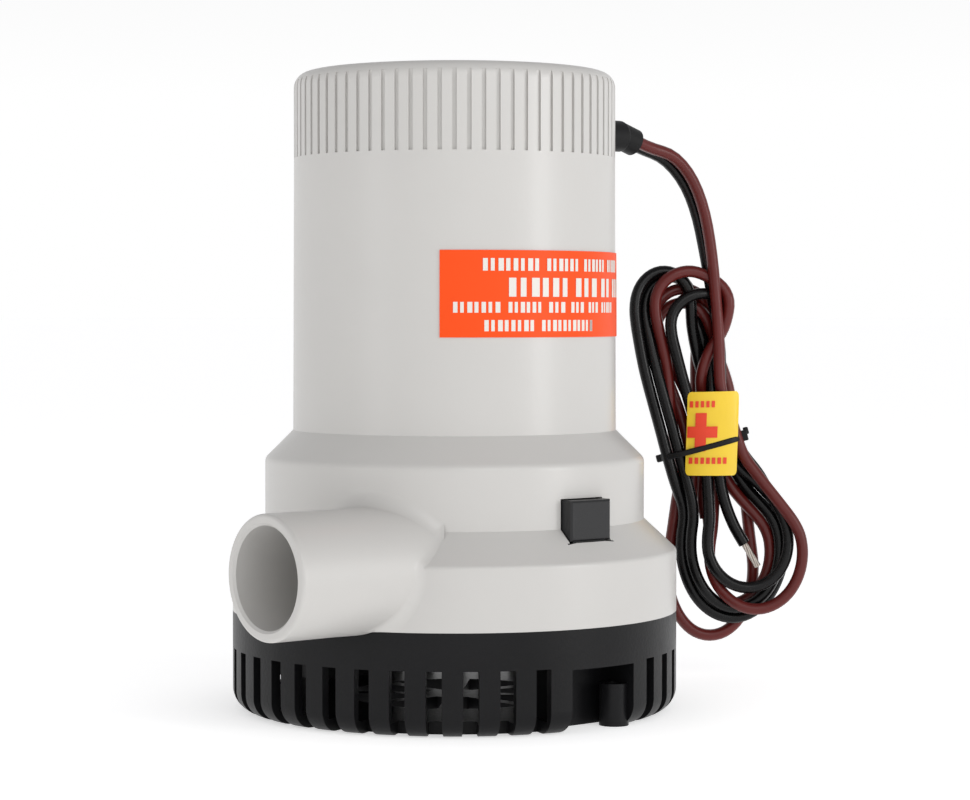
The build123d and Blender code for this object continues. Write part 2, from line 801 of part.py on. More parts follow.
# ---------------------------------------------------------------- snap latches
for name, side in latch_side.items():
    with BuildPart() as latch:
        # knuckle and pins
        with BuildSketch(Plane.YZ.offset(-knuckle_half)):
            with Locations((side * hinge_centre, hinge_height)):
                Circle(knuckle_radius)
        extrude(amount=2 * knuckle_half)
        with BuildSketch(Plane.YZ.offset(-lug_outer + slip)):
            with Locations((side * hinge_centre, hinge_height)):
                Circle(hinge_radius)
        extrude(amount=2 * (lug_outer - slip))
        # arm
        with BuildSketch(Plane.XY.offset(hinge_height)):
            with Locations((0, side * hinge_centre)):
                Rectangle(2 * knuckle_half, arm_thickness)
        extrude(amount=button_bottom + 2 - hinge_height)
        # button
        with BuildSketch(Plane.XY.offset(button_bottom)):
            with Locations((0, side * (latch_face - button_depth / 2))):
                Rectangle(button_width, button_depth)
        extrude(amount=button_height)
        outer = latch.faces().sort_by(Axis.Y)[-1 if side > 0 else 0]
        fillet(outer.edges(), button_round)
    save(latch, f"latch_{name}")

# ---------------------------------------------------------------- leads and their hank
# The hank hangs in an upright plane beside the pump. Points are given as the distance along
# that plane, the distance of the plane behind the axis, and the height.
hank_turn = -40.0
along = Vector(cos(radians(hank_turn)), sin(radians(hank_turn)), 0)
behind = Vector(-sin(radians(hank_turn)), cos(radians(hank_turn)), 0)


def hang(distance, depth, height):
    """Point beside the pump, in the hank's own directions."""
    return along * distance + behind * depth + Vector(0, 0, height)


def corner_radii(points):
    """Largest round for each corner: 0.45 of the shorter run over the tangent of half the turn."""
    radii = []
    for before, here, after in zip(points, points[1:], points[2:]):
        turn = radians((here - before).get_angle(after - here))
        radii.append(0.45 * min((here - before).length, (after - here).length) / tan(turn / 2))
    return radii


def lead(points, label):
    """Saves a round lead along straight runs and tangent arcs."""
    radii = corner_radii(points)
    print(label, "arc radii", [round(value, 1) for value in radii])
    with BuildPart() as made:
        with BuildLine() as route:
            FilletPolyline(*points, radius=radii)
        path = route.wire()
        with BuildSketch(Plane(origin=points[0], z_dir=path % 0)):
            Circle(wire_radius)
        sweep(path=path)
    length = path.length
    print(label, "length", round(length, 1), "volume share",
          round(made.part.volume / (pi * wire_radius**2 * length), 4))
    save(made, label)


collar_end = collar_plane.offset(collar_length)
red_start = collar_end.origin + Vector(0, -wire_pitch / 2, 0)
black_start = collar_end.origin + Vector(0, wire_pitch / 2, 0)
hank_entry = 76.5
red_points = [
    red_start,
    red_start + collar_end.z_dir * 5.0,
    hang(57.2, 43.5, 138.5),
    hang(62.2, 45.2, 133.0),
    hang(65.6, 46.4, 124.8),
    hang(67.6, 46.8, 114.2),
    hang(68.9, 46.8, 101.0),
    hang(69.8, 46.6, 88.5),
    hang(69.8, 46.6, hank_entry),
]
black_points = [
    black_start,
    black_start + collar_end.z_dir * 4.4,
    hang(55.0, 46.2, 137.9),
    hang(59.6, 48.6, 132.1),
    hang(62.9, 50.6, 123.8),
    hang(65.1, 51.8, 113.0),
    hang(68.0, 51.8, 100.3),
    hang(70.6, 51.2, 88.2),
    hang(70.6, 51.2, hank_entry),
]
lead(red_points, "red_lead")
lead(black_points, "black_lead")

# inner ends of the leads, from the motor's terminals up under the cap and into the boot
inner_end = boot_reach - 3
terminal_tip = motor_top + plate_thickness + terminal_rise
red_inner_points = [
    Vector(terminal_x, 0, terminal_tip),
    Vector(terminal_x, 0, terminal_tip + 6.5),
    Vector(14.5, -5.5, terminal_tip + 13.0),
    Vector(5.0, -12.0, terminal_tip + 14.5),
    Vector(2.0, -21.5, terminal_tip + 14.0),
    Vector(10.5, -25.5, terminal_tip + 12.5),
    Vector(18.0, -17.5, terminal_tip + 11.0),
    Vector(23.5, -wire_pitch / 2, boot_height),
    Vector(inner_end, -wire_pitch / 2, boot_height),
]
black_inner_points = [
    Vector(-terminal_x, 0, terminal_tip),
    Vector(-terminal_x, 0, terminal_tip + 6.5),
    Vector(-15.0, 5.5, terminal_tip + 14.0),
    Vector(-3.5, 9.5, terminal_tip + 15.0),
    Vector(9.0, 8.0, terminal_tip + 13.0),
    Vector(20.5, wire_pitch / 2, boot_height),
    Vector(inner_end, wire_pitch / 2, boot_height),
]
lead(red_inner_points, "red_inner_lead")
lead(black_inner_points, "black_inner_lead")

hank_depth = 50.0
hank_thickness = 12.0
tie_centre = hang(65.4, hank_depth, 61.5)
tie_tilt = 15.0
waist_width = 22.5
waist_thickness = 10.0
waist_round = 3.0
tie_height = 2.2
tie_wall = 1.2
front_plane = Plane(origin=hang(0, hank_depth - hank_thickness / 2, 0), x_dir=along, z_dir=-behind)
tie_up = along * -sin(radians(tie_tilt)) + Vector(0, 0, 1) * cos(radians(tie_tilt))
tie_across = along * cos(radians(tie_tilt)) + Vector(0, 0, 1) * sin(radians(tie_tilt))
tie_plane = Plane(origin=tie_centre, x_dir=tie_across, z_dir=tie_up)

with BuildPart() as wire_hank:
    with BuildSketch(front_plane):
        with BuildLine():
            FilletPolyline(
                (63.2, hank_entry),
                (65.4, 96.0),
                (62.8, 110.2),
                (54.5, 111.2),
                (45.0, 98.0),
                (49.0, 76.0),
                (52.4, 69.0),
                radius=[30, 5.5, 6, 14, 40],
            )
            Line((52.4, 69.0), (75.2, 75.2))
            Line((75.2, 75.2), (74.8, hank_entry))
            Line((74.8, hank_entry), (63.2, hank_entry))
        make_face()
    extrude(amount=-hank_thickness)
    with BuildSketch(front_plane):
        with BuildLine():
            FilletPolyline(
                (58.0, 49.4),
                (58.6, 30.0),
                (64.0, 9.5),
                (78.0, 8.0),
                (92.6, 20.0),
                (92.4, 40.0),
                (82.6, 51.2),
                (78.2, 55.6),
                radius=[30, 8, 10, 14, 14, 30],
            )
            Line((78.2, 55.6), (58.0, 49.4))
        make_face()
    extrude(amount=-hank_thickness)
    with BuildSketch(tie_plane.offset(-14)):
        RectangleRounded(waist_width, waist_thickness, waist_round)
    extrude(amount=26)
save(wire_hank, "wire_hank")

with BuildPart() as hank_tie:
    with BuildSketch(tie_plane.offset(-tie_height / 2)):
        RectangleRounded(waist_width + 2 * tie_wall, waist_thickness + 2 * tie_wall, waist_round + tie_wall)
        RectangleRounded(waist_width, waist_thickness, waist_round, mode=Mode.SUBTRACT)
    extrude(amount=tie_height)
save(hank_tie, "hank_tie")

tag_width = 14.0
tag_height = 21.7
tag_thickness = 0.5
tag_front = hank_depth - hank_thickness / 2 - 0.8
tag_plane = Plane(origin=hang(67.3, tag_front, 65.3), x_dir=along, z_dir=-behind)
with BuildPart() as polarity_tag:
    with BuildSketch(tag_plane):
        RectangleRounded(tag_width, tag_height, 1.6)
    extrude(amount=tag_thickness)
save(polarity_tag, "polarity_tag")
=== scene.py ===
import json
import math

import bmesh
import bpy
import numpy as np
from mathutils import Matrix, Vector


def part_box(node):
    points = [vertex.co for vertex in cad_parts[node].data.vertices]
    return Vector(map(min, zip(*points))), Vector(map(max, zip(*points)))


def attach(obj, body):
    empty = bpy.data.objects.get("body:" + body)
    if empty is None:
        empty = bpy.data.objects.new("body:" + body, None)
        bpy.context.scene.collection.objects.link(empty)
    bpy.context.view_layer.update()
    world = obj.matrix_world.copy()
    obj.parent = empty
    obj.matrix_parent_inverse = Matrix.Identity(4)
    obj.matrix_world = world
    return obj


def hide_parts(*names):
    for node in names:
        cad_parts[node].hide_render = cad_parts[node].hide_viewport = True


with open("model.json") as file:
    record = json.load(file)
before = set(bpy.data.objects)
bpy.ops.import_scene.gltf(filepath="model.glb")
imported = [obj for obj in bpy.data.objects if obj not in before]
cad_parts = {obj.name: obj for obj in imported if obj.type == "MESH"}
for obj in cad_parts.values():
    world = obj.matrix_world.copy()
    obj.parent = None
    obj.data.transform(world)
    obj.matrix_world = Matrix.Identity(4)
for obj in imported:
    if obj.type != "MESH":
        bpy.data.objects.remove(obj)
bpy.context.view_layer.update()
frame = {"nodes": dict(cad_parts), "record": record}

bl_info = {
    "name": "Bilge pump dresser",
    "version": (1, 0, 0),
    "blender": (4, 5, 0),
    "location": "View3D > Sidebar > Bilge pump",
    "description": "Finishes a packed bilge pump: its moulded shells, label, leads, tag and stage",
    "category": "Object",
}

MM = 0.001
MOUNTS = {mount["name"]: mount for mount in frame["record"]["mounts"]}
SPIGOT = MOUNTS["outlet_spigot"]

# ------------------------------------------------------------------ small helpers


def settings(name):
    """The scene's property group of that name."""
    return getattr(bpy.context.scene, name)


def new_piece(name, bm, material, smooth_angle=35.0):
    """A mesh object from a bmesh, at the origin, with one material and smooth shading."""
    mesh = bpy.data.meshes.new(name)
    bm.to_mesh(mesh)
    bm.free()
    piece = bpy.data.objects.new(name, mesh)
    bpy.context.collection.objects.link(piece)
    if material is not None:
        mesh.materials.append(material)
    shade(piece, smooth_angle)
    return piece


def shade(piece, angle):
    """Smooth shading with sharp edges past an angle in degrees."""
    mesh = piece.data
    mesh.shade_smooth()
    bm = bmesh.new()
    bm.from_mesh(mesh)
    limit = math.radians(angle)
    for edge in bm.edges:
        if len(edge.link_faces) == 2:
            edge.smooth = edge.calc_face_angle(0) < limit
    bm.to_mesh(mesh)
    bm.free()


def paint(node, material):
    """Gives a CAD node's own object a finished material."""
    piece = frame["nodes"][node]
    if not piece.material_slots:
        piece.data.materials.append(material)
    for place in piece.material_slots:
        place.link = "OBJECT"
        place.material = material


# ------------------------------------------------------------------ materials


class Nodes:
    """A short way to wire a node material."""

    def __init__(self, name):
        self.material = bpy.data.materials.new(name)
        self.material.use_nodes = True
        self.tree = self.material.node_tree
        self.shader = self.tree.nodes["Principled BSDF"]

    def add(self, kind, **values):
        node = self.tree.nodes.new(kind)
        for key, value in values.items():
            if key in node.inputs:
                node.inputs[key].default_value = value
            else:
                setattr(node, key, value)
        return node

    def link(self, output, target):
        self.tree.links.new(output, target)

    def set(self, **values):
        for key, value in values.items():
            self.shader.inputs[key.replace("_", " ")].default_value = value

    def coordinates(self, output="Object", scale=1.0):
        place = self.add("ShaderNodeTexCoord")
        mapping = self.add("ShaderNodeMapping")
        mapping.inputs["Scale"].default_value = (scale, scale, scale)
        self.link(place.outputs[output], mapping.inputs["Vector"])
        return mapping.outputs["Vector"]

    def noise(self, vector, scale, detail=3.0, roughness=0.5):
        node = self.add("ShaderNodeTexNoise")
        node.inputs["Scale"].default_value = scale
        node.inputs["Detail"].default_value = detail
        node.inputs["Roughness"].default_value = roughness
        self.link(vector, node.inputs["Vector"])
        return node.outputs["Fac"]

    def ramp(self, value, stops):
        node = self.add("ShaderNodeValToRGB")
        ramp = node.color_ramp
        while len(ramp.elements) < len(stops):
            ramp.elements.new(0.5)
        for element, (place, colour) in zip(ramp.elements, stops):
            element.position = place
            element.color = (*colour, 1.0)
        self.link(value, node.inputs["Fac"])
        return node.outputs["Color"]

    def rough(self, value, low, high):
        node = self.add("ShaderNodeMapRange")
        node.inputs["To Min"].default_value = low
        node.inputs["To Max"].default_value = high
        self.link(value, node.inputs["Value"])
        self.link(node.outputs["Result"], self.shader.inputs["Roughness"])

    def bump(self, height, strength, distance):
        node = self.add("ShaderNodeBump")
        node.inputs["Strength"].default_value = strength
        node.inputs["Distance"].default_value = distance
        self.link(height, node.inputs["Height"])
        self.link(node.outputs["Normal"], self.shader.inputs["Normal"])


def speckled(name, base, spread, rough, grain, bump, coat=0.0, metallic=0.0, specular=0.5):
    """Moulded, rubber or metal finish: colour that varies a little, fine grain and gloss."""
    made = Nodes(name)
    place = made.coordinates()
    cloudy = made.noise(place, 35.0, 4.0, 0.6)
    low = tuple(channel * (1.0 - spread) for channel in base)
    high = tuple(min(1.0, channel * (1.0 + spread)) for channel in base)
    made.link(made.ramp(cloudy, [(0.3, low), (0.7, high)]), made.shader.inputs["Base Color"])
    fine = made.noise(place, grain, 2.0, 0.5)
    made.rough(fine, rough - 0.05, rough + 0.06)
    made.bump(fine, bump, 0.0002)
    made.set(Coat_Weight=coat, Coat_Roughness=0.15, Metallic=metallic, Specular_IOR_Level=specular)
    return made.material


MATERIALS = {}


def make_materials():
    """Every finish of the pump, by a maker's name."""
    colours = settings("pump_colours")
    shell = tuple(colours.shell)
    black = tuple(colours.base)
    MATERIALS.update(
        shell=speckled("shell_abs", shell, 0.012, 0.36, 900.0, 0.08, coat=0.1),
        base=speckled("base_nylon", black, 0.18, 0.38, 1200.0, 0.2, specular=0.17),
        button=speckled("button_nylon", tuple(c * 1.4 for c in black), 0.15, 0.34, 1500.0, 0.2, specular=0.4),
        rubber=speckled("boot_rubber", (0.004, 0.004, 0.0044), 0.2, 0.46, 1800.0, 0.25, specular=0.22),
        red_wire=speckled("red_insulation", tuple(colours.red_wire), 0.12, 0.34, 1600.0, 0.1, specular=0.38),
        black_wire=speckled(
            "black_insulation", (0.0026, 0.0024, 0.0027), 0.2, 0.26, 1600.0, 0.1, specular=0.26
        ),
        tie=speckled("tie_nylon", (0.004, 0.004, 0.0044), 0.2, 0.4, 1500.0, 0.2, specular=0.22),
        steel=speckled("bright_steel", (0.62, 0.62, 0.64), 0.06, 0.28, 2500.0, 0.1, metallic=1.0),
        can=speckled("zinc_plate", (0.42, 0.43, 0.45), 0.1, 0.38, 900.0, 0.15, metallic=1.0),
        laminations=speckled("laminations", (0.23, 0.23, 0.24), 0.12, 0.45, 3000.0, 0.3, metallic=1.0),
        copper=speckled("enamelled_copper", (0.60, 0.22, 0.10), 0.15, 0.3, 2600.0, 0.5, metallic=1.0),
        brass=speckled("brass", (0.72, 0.52, 0.22), 0.08, 0.3, 2000.0, 0.1, metallic=1.0),
        magnet=speckled("ferrite", (0.06, 0.06, 0.065), 0.2, 0.6, 1500.0, 0.3),
        carbon=speckled("graphite", (0.03, 0.03, 0.032), 0.2, 0.5, 2500.0, 0.3),
        card=speckled("paper_laminate", (0.16, 0.07, 0.03), 0.15, 0.5, 1200.0, 0.2),
        capacitor=speckled("dipped_ceramic", (0.55, 0.2, 0.04), 0.1, 0.35, 800.0, 0.2),
        impeller=speckled("impeller_nylon", (0.05, 0.05, 0.055), 0.15, 0.4, 1500.0, 0.2),
        tinned=speckled("tinned_copper", (0.55, 0.5, 0.45), 0.15, 0.35, 4000.0, 0.5, metallic=1.0),
        label=speckled("label_film", tuple(colours.label), 0.02, 0.45, 1500.0, 0.05, specular=0.25),
        ink=speckled("white_ink", (0.74, 0.71, 0.66), 0.02, 0.5, 1500.0, 0.05),
        tag=speckled("tag_film", tuple(colours.tag), 0.04, 0.4, 900.0, 0.1, coat=0.1),
        tag_ink=speckled("tag_ink", (0.80, 0.045, 0.008), 0.06, 0.45, 1500.0, 0.05),
    )


NODE_FINISHES = {
    "motor_housing": "shell",
    "volute_housing": "shell",
    "top_cap": "shell",
    "strainer_base": "base",
    "volute_cover": "base",
    "latch_front": "button",
    "latch_rear": "button",
    "cap_seal_ring": "rubber",
    "cable_boot": "rubber",
    "lower_motor_cushion": "rubber",
    "upper_motor_cushion": "rubber",
    "shaft_seal": "rubber",
    "volute_gasket": "rubber",
    "rating_label": "label",
    "motor_can": "can",
    "motor_end_plate": "can",
    "seal_retainer": "can",
    "motor_magnets": "magnet",
    "magnet_clips": "steel",
    "motor_shaft": "steel",
    "brush_springs": "steel",
    "brush_card_screws": "steel",
    "thrust_washers": "steel",
    "impeller_screw": "steel",
    "volute_cover_screws": "steel",
    "armature_core": "laminations",
    "armature_windings": "copper",
    "commutator": "copper",
    "motor_terminals": "brass",
    "brush_holders": "brass",
    "upper_bearing": "brass",
    "lower_bearing": "brass",
    "carbon_brushes": "carbon",
    "brush_card": "card",
    "noise_capacitor": "capacitor",
    "impeller": "impeller",
    "red_inner_lead": "red_wire",
    "black_inner_lead": "black_wire",
}


# ------------------------------------------------------------------ property groups


class PumpColours(bpy.types.PropertyGroup):
    """Colours that a user would change"""

    shell: bpy.props.FloatVectorProperty(
        name="Shell",
        description="Colour of the moulded housing and cap",
        subtype="COLOR",
        size=3,
        default=(0.56, 0.548, 0.528),
        min=0.0,
        max=1.0,
    )
    base: bpy.props.FloatVectorProperty(
        name="Base",
        description="Colour of the strainer base and the buttons",
        subtype="COLOR",
        size=3,
        default=(0.0065, 0.0065, 0.0072),
        min=0.0,
        max=1.0,
    )
    red_wire: bpy.props.FloatVectorProperty(
        name="Positive lead",
        description="Colour of the positive lead's insulation",
        subtype="COLOR",
        size=3,
        default=(0.105, 0.009, 0.007),
        min=0.0,
        max=1.0,
    )
    label: bpy.props.FloatVectorProperty(
        name="Label",
        description="Ground colour of the rating label",
        subtype="COLOR",
        size=3,
        default=(0.90, 0.072, 0.001),
        min=0.0,
        max=1.0,
    )
    tag: bpy.props.FloatVectorProperty(
        name="Tag",
        description="Ground colour of the polarity tag",
        subtype="COLOR",
        size=3,
        default=(0.88, 0.60, 0.02),
        min=0.0,
        max=1.0,
    )


class PumpLeads(bpy.types.PropertyGroup):
    """Size of the leads"""

    diameter: bpy.props.FloatProperty(
        name="Lead diameter",
        description="Outside diameter of one lead",
        default=3.1 * MM,
        min=1.0 * MM,
        max=6.0 * MM,
        unit="LENGTH",
    )


class PumpCamera(bpy.types.PropertyGroup):
    """Where the camera stands"""

    azimuth: bpy.props.FloatProperty(
        name="Azimuth",
        description="Turn of the camera round the pump, in degrees",
        default=-40.0,
    )
    distance: bpy.props.FloatProperty(
        name="Distance",
        description="Distance from the pump's axis",
        default=0.665,
        unit="LENGTH",
    )
    height: bpy.props.FloatProperty(
        name="Height",
        description="Height of the lens above the floor",
        default=0.0968,
        unit="LENGTH",
    )
    tilt: bpy.props.FloatProperty(
        name="Tilt",
        description="Downward tilt of the camera, in degrees",
        default=1.83,
    )
    lens: bpy.props.FloatProperty(
        name="Lens",
        description="Focal length on a 36 mm sensor, in millimetres",
        default=100.2,
    )


# ------------------------------------------------------------------ leads: route and hank

HANK_TURN = math.radians(-40.0)
ALONG = np.array([math.cos(HANK_TURN), math.sin(HANK_TURN), 0.0])
BEHIND = np.array([-math.sin(HANK_TURN), math.cos(HANK_TURN), 0.0])
UP = np.array([0.0, 0.0, 1.0])

# The boot's collar, in millimetres: where it starts, its length and tilt, the distance between
# the two leads in it, and how far they run straight on from it.
COLLAR_START = (56.5, 142.7)
COLLAR_LENGTH = 4.5
COLLAR_TILT = math.radians(18.0)
COLLAR_AXIS = np.array([math.cos(COLLAR_TILT), 0.0, -math.sin(COLLAR_TILT)])
COLLAR_END = np.array([
    COLLAR_START[0] + COLLAR_LENGTH * math.cos(COLLAR_TILT),
    0.0,
    COLLAR_START[1] - COLLAR_LENGTH * math.sin(COLLAR_TILT),
])
WIRE_PITCH = 3.45
STRAIGHT_RUN = 4.7

# Points of each free stretch: distance along the hank's plane, depth behind the axis and
# height, in millimetres.
RED_ROUTE = [
    (57.2, 43.5, 138.5),
    (62.2, 45.2, 133.0),
    (65.6, 46.4, 124.8),
    (67.6, 46.8, 114.2),
    (68.9, 46.8, 101.0),
    (69.8, 46.6, 88.5),
    (69.8, 46.6, 76.5),
]
BLACK_ROUTE = [
    (55.0, 46.2, 137.9),
    (60.6, 48.6, 131.7),
    (64.0, 49.9, 123.5),
    (66.2, 50.6, 113.2),
    (68.4, 50.8, 100.6),
    (70.6, 51.2, 88.2),
    (70.6, 51.2, 76.5),
]

# The tie: its middle, its tilt, the pitch of the strands that it holds, and how far above and
# below its middle it holds them.
TIE_CENTRE = (65.4, 50.0, 61.5)
TIE_TILT = math.radians(15.0)
STRAND_PITCH = 3.15
HELD_RISE = 3.6

# How the turns are eased apart, in millimetres: the step between points, the least distance
# between strands, the nearest and farthest depth, the rounds, and the most that a point may
# stand off the line between the points two steps away, which keeps every bend wide.
SETTLE_STEP = 2.1
SETTLE_GAP = 3.3
SETTLE_DEPTHS = (45.2, 55.6)
SETTLE_ROUNDS = 320
BOW_LIMIT = 0.98

# One row for each turn of a lead: the column and the row in the tie going down, the lower lobe
# (middle, depth at its right, depth at its left, middle height, half width, half height), the
# column and the row going up, and the upper lobe with its left depth first.
RED_TURNS = [
    ((3, -1), (79.6, 46.4, 50.4, 33.0, 12.2, 14.8), (1, 0), (61.4, 51.0, 53.0, 92.0, 8.8, 8.4)),
    ((3, 1), (68.2, 53.0, 53.8, 28.4, 11.6, 18.0), (-2, 0), (60.6, 47.0, 49.0, 98.9, 8.8, 8.9)),
    ((1, 1), (73.0, 51.4, 52.6, 34.0, 12.0, 15.4), (-1, 0), (60.2, 50.6, 54.0, 95.6, 7.8, 8.2)),
]
RED_LAST = ((0, 1), [(66.0, 53.4, 46.0), (67.4, 53.6, 40.4)])
BLACK_TURNS = [
    ((2, 0), (74.2, 52.2, 51.2, 36.0, 13.6, 20.4), (-3, -1), (56.4, 46.8, 52.6, 98.8, 8.2, 9.8)),
    ((2, 1), (74.4, 49.2, 48.4, 36.0, 12.4, 17.0), (-2, -1), (58.8, 48.0, 54.4, 98.0, 8.0, 8.8)),
    ((3, 0), (77.4, 47.6, 46.2, 36.4, 11.0, 12.4), (0, -1), (62.6, 46.6, 52.0, 94.2, 7.4, 7.8)),
]
BLACK_LAST = ((1, -1), [(70.4, 46.8, 50.0), (72.6, 46.8, 43.4), (75.0, 46.8, 38.2), (77.8, 46.8, 34.4)])


def hang(point):
    """A point of the hank in the row frame, in metres."""
    distance, depth, height = point
    return (ALONG * distance + BEHIND * depth + UP * height) * MM


def tie_point(column, row, rise=0.0):
    """A strand's place in the tie, or above or below it along the bundle."""
    distance, depth, height = TIE_CENTRE
    across = STRAND_PITCH * column
    return (
        distance + across * math.cos(TIE_TILT) - rise * math.sin(TIE_TILT),
        depth + STRAND_PITCH * row,
        height + across * math.sin(TIE_TILT) + rise * math.cos(TIE_TILT),
    )


def lobe(shape, start, stop, steps):
    """Points round one end of a turn, from a start angle to a stop angle in degrees."""
    middle, depth_first, depth_last, height, half_width, half_height = shape
    points = []
    for step in range(steps + 1):
        share = step / steps
        angle = math.radians(start + (stop - start) * share)
        points.append((
            middle + half_width * math.cos(angle),
            depth_first + (depth_last - depth_first) * share,
            height + half_height * math.sin(angle),
        ))
    return points


def hank_points(turns, last):
    """All the points of one lead from the tie's first crossing to its end."""
    points = []
    held = []
    for down, lower, up, upper in turns:
        for rise in (HELD_RISE, 0.0, -HELD_RISE):
            held.append(len(points))
            points.append(tie_point(*down, rise))
        points += lobe(lower, 25.0, -205.0, 10)
        for rise in (-HELD_RISE, 0.0, HELD_RISE):
            held.append(len(points))
            points.append(tie_point(*up, rise))
        points += lobe(upper, 195.0, -15.0, 8)
    place, ending = last
    for rise in (HELD_RISE, 0.0, -HELD_RISE):
        held.append(len(points))
        points.append(tie_point(*place, rise))
    return points + list(ending), held


def even_points(points, held, step):
    """The turns with points a step apart, and which of them the tie holds."""
    points = np.array(points, float)
    lengths = np.linalg.norm(np.diff(points, axis=0), axis=1)
    along = np.concatenate([[0.0], np.cumsum(lengths)])
    count = int(round(along[-1] / step)) + 1
    places = np.linspace(0.0, along[-1], count)
    even = np.stack([np.interp(places, along, points[:, axis]) for axis in range(3)], axis=1)
    pinned = np.zeros(count, bool)
    for number in held:
        nearest = int(np.argmin(abs(places - along[number])))
        even[nearest] = points[number]
        pinned[nearest] = True
    for number in range(8):
        ease = 0.5 if number % 2 == 0 else -0.52
        shift = ease * ((even[:-2] + even[2:]) / 2 - even[1:-1])
        even[1:-1][~pinned[1:-1]] += shift[~pinned[1:-1]]
    return even, pinned


def settle(home, pinned, owners):
    """Eases the strands apart and opens tight bends, with each point near its own place."""
    points = home.copy()
    count = len(points)
    index = np.arange(count)
    kin = owners[:, None] == owners[None, :]
    near_kin = (abs(index[:, None] - index[None, :]) <= 4) & kin
    inner = np.zeros(count, bool)
    inner[1:-1] = (owners[:-2] == owners[1:-1]) & (owners[1:-1] == owners[2:])
    free = inner & ~pinned
    reach = 2
    bowed = np.zeros(count, bool)
    bowed[reach:-reach] = owners[:-2 * reach] == owners[2 * reach:]
    bowed = np.flatnonzero(bowed)
    for _ in range(SETTLE_ROUNDS):
        moved = points - home
        middle = moved.copy()
        middle[1:-1] = (moved[:-2] + moved[2:]) / 2
        points[free] += (0.45 * (middle - moved) - 0.006 * moved)[free]
        offset = points[:, None, :] - points[None, :, :]
        distance = np.linalg.norm(offset, axis=2)
        close = (distance < SETTLE_GAP) & ~near_kin
        press = (SETTLE_GAP - distance) / np.maximum(distance, 0.2)
        push = np.where(close, press, 0.0)[..., None] * offset
        push[..., 1] *= 1.5
        shift = 0.35 * push.sum(axis=1)
        bow = points[bowed] - (points[bowed - reach] + points[bowed + reach]) / 2
        size = np.linalg.norm(bow, axis=1)
        excess = (np.maximum(size - BOW_LIMIT, 0.0) / np.maximum(size, 0.01))[:, None] * bow
        np.add.at(shift, bowed, -0.4 * excess)
        np.add.at(shift, bowed - reach, 0.2 * excess)
        np.add.at(shift, bowed + reach, 0.2 * excess)
        points[free] += shift[free]
        points[free, 1] = np.clip(points[free, 1], *SETTLE_DEPTHS)
    return points


def lead_start(side):
    """Where a lead leaves the boot's collar, and its next point, in millimetres."""
    start = COLLAR_END + np.array([0.0, side * WIRE_PITCH / 2, 0.0])
    return [start, start + COLLAR_AXIS * STRAIGHT_RUN]


def routes():
    """Control points of the red and the black lead, in metres in the row frame."""
    strands, pins, owners = [], [], []
    for owner, (free_route, turns, last) in enumerate(
        ((RED_ROUTE, RED_TURNS, RED_LAST), (BLACK_ROUTE, BLACK_TURNS, BLACK_LAST))
    ):
        coil, held = hank_points(turns, last)
        even, pinned = even_points(coil, held, SETTLE_STEP)
        route = even_points(free_route, range(len(free_route)), SETTLE_STEP)[0]
        strands += [route, even]
        pins += [np.ones(len(route), bool), pinned]
        owners += [np.full(len(route), owner), np.full(len(even), owner + 2)]
    strands, pins, owners = np.concatenate(strands), np.concatenate(pins), np.concatenate(owners)
    settled = settle(strands, pins, owners)
    result = []
    for owner, (side, free_route) in enumerate(((-1, RED_ROUTE), (1, BLACK_ROUTE))):
        start = [tuple(point * MM) for point in lead_start(side)]
        free_part = [tuple(hang(point)) for point in free_route]
        coil = [tuple(hang(point)) for point in settled[owners == owner + 2][::2]]
        result.append(start + free_part + coil)
    return result


def cord_curve(name, points, diameter, material):
    """A round lead along a smooth NURBS spline."""
    curve = bpy.data.curves.new(name, "CURVE")
    curve.dimensions = "3D"
    curve.bevel_depth = diameter / 2
    curve.bevel_resolution = 3
    curve.resolution_u = 3
    curve.use_fill_caps = True
    spline = curve.splines.new("NURBS")
    spline.points.add(len(points) - 1)
    for place, point in zip(spline.points, points):
        place.co = (*point, 1.0)
    spline.order_u = 3
    spline.use_endpoint_u = True
    curve.materials.append(material)
    piece = bpy.data.objects.new(name, curve)
    bpy.context.collection.objects.link(piece)
    return piece


def curve_line(piece):
    """Points along a curve's own centreline."""
    bare = piece.copy()
    bare.data = piece.data.copy()
    bare.data.bevel_depth = 0.0
    mesh = bpy.data.meshes.new_from_object(bare)
    line = np.array([vertex.co[:] for vertex in mesh.vertices])
    bpy.data.meshes.remove(mesh)
    bpy.data.objects.remove(bare)
    return line


class PUMP_OT_leads(bpy.types.Operator):
    """Lays the two leads from the boot into the tied hank"""

    bl_idname = "pump.leads"
    bl_label = "Leads"

    def execute(self, context):
        leads = settings("pump_leads")
        finishes = ("red_wire", "black_wire")
        for name, points, finish in zip(("red_lead", "black_lead"), routes(), finishes):
            piece = cord_curve(f"{name}_cord", points, leads.diameter, MATERIALS[finish])
            line = curve_line(piece)
            heading = Vector(line[-1] - line[-2]).normalized()
            tip = tinned_end(f"{name}_tip", Vector(line[-1]), heading)
            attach(piece, "root")
            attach(tip, "root")
            nodes = [name, "wire_hank"] if name == "red_lead" else [name]
            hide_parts(*nodes)
        return {"FINISHED"}


# A stripped end, in millimetres: the radius of its strands, how far the outer ones lie from the
# middle one, how far it starts inside the insulation, its rings, and their twist in radians.
TIP_STRAND = 0.30
TIP_PITCH = 0.58
TIP_INSIDE = 1
TIP_RINGS = 9
TIP_TWIST = 0.32


